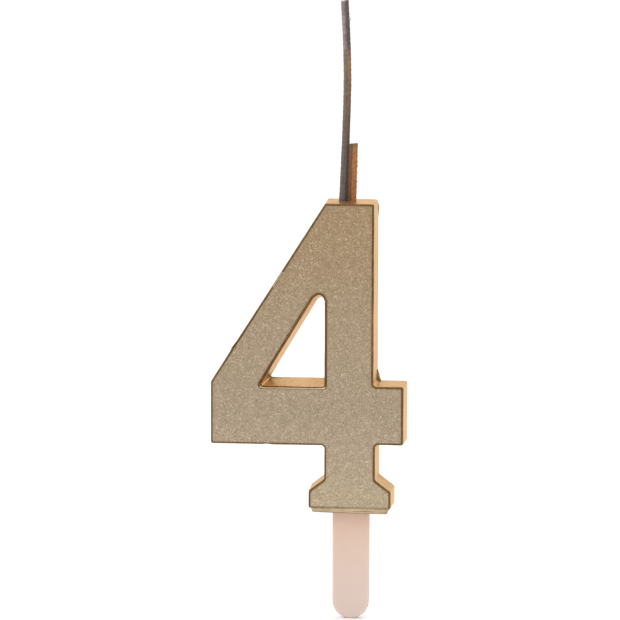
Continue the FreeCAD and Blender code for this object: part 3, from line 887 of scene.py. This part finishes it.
def buildFuzz():
    bm = bmesh.new()
    draw = random.Random(fuzz["seed"])
    legTop, tailEnd = legLine[-1] / mm, tailLine[-1] / mm
    homes = []
    for index in range(fuzz["count"]):
        if index < 30:
            rise = draw.uniform(3.0, 10.5)
            edge = tail["right"] + 0.3 * rise / tail["height"]
            homes.append((Vector((edge - draw.uniform(0.02, 0.10), draw.uniform(-0.4, 0.2),
                                  70 + rise)), (0.30, 0.0, 0.38)))
        elif index < 45:
            homes.append((tailEnd + Vector((draw.uniform(-0.85, 0.85), draw.uniform(-0.35, 0.35),
                                            -0.2)), (0.02, 0.0, 0.42)))
        else:
            homes.append((legTop + Vector((draw.uniform(-0.75, 0.75), draw.uniform(-0.35, 0.35),
                                           -0.2)), (0.0, 0.0, 0.38)))
    for home, lean in homes:
        places = [home * mm]
        step = Vector(lean) + Vector((draw.uniform(-0.12, 0.12), draw.uniform(-0.14, 0.1),
                                      draw.uniform(-0.15, 0.15)))
        for _ in range(3):
            step = step * 0.72 + Vector((draw.uniform(-0.05, 0.06), draw.uniform(-0.05, 0.05), 0))
            places.append(places[-1] + step * 0.55 * mm)
        addFibre(bm, places, draw.uniform(fuzz["thin"], fuzz["thick"]))
    # the small knot of lint high on the leg's right side
    lint = bmesh.ops.create_icosphere(bm, subdivisions=3, radius=0.28 * mm)["verts"]
    middle = Vector(fuzz["lint"]) * mm
    bmesh.ops.translate(bm, verts=lint, vec=middle)
    for vert in lint:
        push = noise.noise(vert.co / (0.18 * mm))
        vert.co += (vert.co - middle) * 0.5 * push
    bmesh.ops.recalc_face_normals(bm, faces=bm.faces[:])
    shadeSmooth(bm, 60)
    return makePiece("wickFuzz", bm, [fuzzMaterial], "candle")


buildFuzz()


# plastic pick

pick = {"corners": [(-4.12, -24.65, 4.11, 1), (4.12, -24.65, 4.11, 1),
                    (4.2, 16.0, 1.2, 1), (-4.2, 16.0, 1.2, 1)],
        "half": 1.0, "round": 0.35, "ridge": 0.03}


def pickMaterialMade():
    material, tree, shader = newMaterial(
        "pickPlastic", Roughness=0.34, IOR=1.46, Subsurface_Weight=0.35, Subsurface_Scale=0.002)
    shader.inputs["Subsurface Radius"].default_value = (1.0, 0.75, 0.6)
    height = addNode(tree, "ShaderNodeSeparateXYZ",
                     {"Vector": addNode(tree, "ShaderNodeTexCoord").outputs["Object"]})
    patches = placeGroup(tree, softMottle, Large=90.0, Small=600.0)["Mask"]
    # more orange and darker towards the foot: painted reflection of the gold foot and painted shade
    # under it
    rise = between(tree, height.outputs["Z"], -0.022, 0.002)
    ground = mixColour(tree, rise, (0.640, 0.515, 0.448), (0.665, 0.475, 0.368))
    soft = mixColour(tree, maths(tree, "MULTIPLY", between(tree, patches, 0.35, 0.7), 0.10),
                     ground, (0.50, 0.36, 0.30))
    tree.links.new(soft, shader.inputs["Base Color"])
    rough = addNode(tree, "ShaderNodeMapRange", {"Value": patches, "To Min": 0.28, "To Max": 0.42})
    tree.links.new(rough.outputs["Result"], shader.inputs["Roughness"])
    tree.links.new(bumpFrom(tree, patches, 0.2, 0.08), shader.inputs["Normal"])
    return material


pickPlastic = pickMaterialMade()


def buildPick():
    bm = bmesh.new()
    half, turn, ridge = pick["half"], pick["round"], pick["ridge"]
    profile = [(-turn, -half, 0), (-turn * 0.62, -half + turn * 0.07, 0),
               (-turn * 0.3, -half + turn * 0.3, 0), (-turn * 0.07, -half + turn * 0.62, 0),
               (0, -half + turn, 0), (0, -0.06, 0), (ridge, -0.015, 0), (ridge, 0.015, 0),
               (0, 0.06, 0), (0, half - turn, 0), (-turn * 0.07, half - turn * 0.62, 0),
               (-turn * 0.3, half - turn * 0.3, 0), (-turn * 0.62, half - turn * 0.07, 0),
               (-turn, half, 0)]
    loops = []
    for grow, depth, change in profile:
        corners = movedCorners([(x, z) for x, z, radius, bend in pick["corners"]], grow)
        radii = [radius + grow * bend for x, z, radius, bend in pick["corners"]]
        loops.append(roundedLoop(bm, corners, radii, depth, segments=14))
    bridgeAll(bm, loops)
    for edges in (loops[0], loops[-1]):
        bmesh.ops.triangle_fill(bm, use_beauty=True, use_dissolve=False, edges=edges)
    cleanMesh(bm)
    sliceEvenly(bm, 2, 0.9)
    sliceEvenly(bm, 0, 0.9)
    waveSurface(bm, [(0.025, 6.0), (0.012, 2.2)], seed=9)
    # shallow sink in each face, where the plastic shrank as it cooled
    for vert in bm.verts:
        place = vert.co / mm
        if abs(place.y) > 0.7:
            sink = max(0.0, 1 - (place.x / 3.4) ** 2) * min(1, max(0, (place.z + 23) / 4))
            vert.co.y -= math.copysign(0.05 * sink * mm, place.y)
    shadeSmooth(bm, 35)
    return makePiece("pickBlade", bm, [pickPlastic], "holder", ["pick"])


buildPick()


# the wax inside, and the braid that runs through it

wax = {"under": 0.13, "counterCentre": (-10.6, 0, 36.8), "pointBack": 1.9, "cornerBack": 0.8}

waxMaterial, waxTree, waxShader = newMaterial("ivoryWax", Roughness=0.45, IOR=1.44,
                                              Subsurface_Weight=0.4, Subsurface_Scale=0.003)
waxPatch = placeGroup(waxTree, softMottle, Large=150.0, Small=1100.0)["Mask"]
waxTree.links.new(mixColour(waxTree, between(waxTree, waxPatch, 0.35, 0.65), (0.80, 0.72, 0.58),
                            (0.86, 0.80, 0.68)), waxShader.inputs["Base Color"])
waxTree.links.new(bumpFrom(waxTree, waxPatch, 0.3, 0.2), waxShader.inputs["Normal"])

coreMaterial, coreTree, coreShader = newMaterial("waxedBraid", Roughness=0.5)
corePatch = placeGroup(coreTree, softMottle, Large=600.0, Small=2600.0)["Mask"]
coreTree.links.new(mixColour(coreTree, between(coreTree, corePatch, 0.35, 0.65),
                             (0.20, 0.15, 0.12), (0.36, 0.29, 0.24)),
                   coreShader.inputs["Base Color"])
coreTree.links.new(bumpFrom(coreTree, corePatch, 0.5, 0.1), coreShader.inputs["Normal"])


def buildWax():
    bm = bmesh.new()
    bm.from_mesh(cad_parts["wax_body"].data)
    bmesh.ops.remove_doubles(bm, verts=bm.verts[:], dist=2e-6)
    bm.normal_update()
    moves = []
    for vert in bm.verts:
        place = vert.co / mm
        push = vert.normal * -wax["under"]
        onSlope = place.x > -22 + 0.6 * (place.z - 28.6)
        if onSlope and place.x < -4.6 and 27.6 < place.z < 56:
            # round the counter the wax keeps back, where the lacquer's corners are tighter
            away = Vector((place.x, 0, place.z)) - Vector(wax["counterCentre"])
            push = away.normalized() * wax["pointBack" if place.z > 44 else "cornerBack"]
        moves.append((vert, push))
    for vert, push in moves:
        vert.co += push * mm
    shadeSmooth(bm, 35)
    return makePiece("waxCasting", bm, [waxMaterial], "candle", ["wax_body"])


buildWax()
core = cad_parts["wick_core"]
core.data.materials.clear()
core.data.materials.append(coreMaterial)
print("inner braid dressed")


# floor, light and camera

studio = {"floorHalf": 3000, "floorColour": (0.95, 0.95, 0.95), "worldColour": (0.94, 0.945, 0.955),
          "worldStrength": 1.12}
view = {"azimuth": 5.9, "elevation": 8.0, "distance": 1125, "aim": (-9.5, 0, 45.4),
        "lens": 291, "roll": 0.2}

floorMaterial, _, floorShader = newMaterial("paleFloor", Roughness=0.9)
floorShader.inputs["Specular IOR Level"].default_value = 0.1
floorShader.inputs["Base Color"].default_value = (*studio["floorColour"], 1)
floorBm = bmesh.new()
bmesh.ops.create_grid(floorBm, x_segments=4, y_segments=4, size=studio["floorHalf"] * mm)
bmesh.ops.translate(floorBm, verts=floorBm.verts[:], vec=(0, 0, cadBox[0][2]))
floorMesh = bpy.data.meshes.new("paleFloor")
floorBm.to_mesh(floorMesh)
floorBm.free()
floorMesh.materials.append(floorMaterial)
floor = bpy.data.objects.new("paleFloor", floorMesh)
bpy.context.scene.collection.objects.link(floor)


def addLamp(name, place, size, watts, colour):
    lamp = bpy.data.lights.new(name, "AREA")
    lamp.shape = "DISK"
    lamp.size = size
    lamp.energy = watts
    lamp.color = colour
    lampObject = bpy.data.objects.new(name, lamp)
    lampObject.location = place
    aim = Vector((0, 0, 0.045)) - Vector(place)
    lampObject.rotation_mode = "QUATERNION"
    lampObject.rotation_quaternion = aim.to_track_quat("-Z", "Y")
    bpy.context.scene.collection.objects.link(lampObject)


addLamp("keyLamp", (-0.6, -0.8, 0.9), 0.7, 3.0, (1.0, 0.98, 0.95))
addLamp("topLamp", (0.1, 0.3, 1.3), 1.0, 3.0, (1.0, 1.0, 1.0))

world = bpy.data.worlds.new("studioWorld")
world.use_nodes = True
backdrop = world.node_tree.nodes["Background"]
backdrop.inputs["Color"].default_value = (*studio["worldColour"], 1)
backdrop.inputs["Strength"].default_value = studio["worldStrength"]
bpy.context.scene.world = world
bpy.context.scene.view_settings.view_transform = "Standard"

azimuth, elevation = math.radians(view["azimuth"]), math.radians(view["elevation"])
towards = Vector((math.sin(azimuth) * math.cos(elevation), -math.cos(azimuth) * math.cos(elevation),
                  math.sin(elevation)))
cameraData = bpy.data.cameras.new("studioCamera")
cameraData.lens = view["lens"]
cameraData.sensor_width = 36
cameraData.clip_end = 20
camera = bpy.data.objects.new("studioCamera", cameraData)
camera.location = (Vector(view["aim"]) + towards * view["distance"]) * mm
camera.rotation_mode = "QUATERNION"
camera.rotation_quaternion = ((-towards).to_track_quat("-Z", "Y")
                              @ Quaternion((0, 0, 1), math.radians(view["roll"])))
bpy.context.scene.collection.objects.link(camera)
bpy.context.scene.camera = camera
print("floor, light and camera ready")
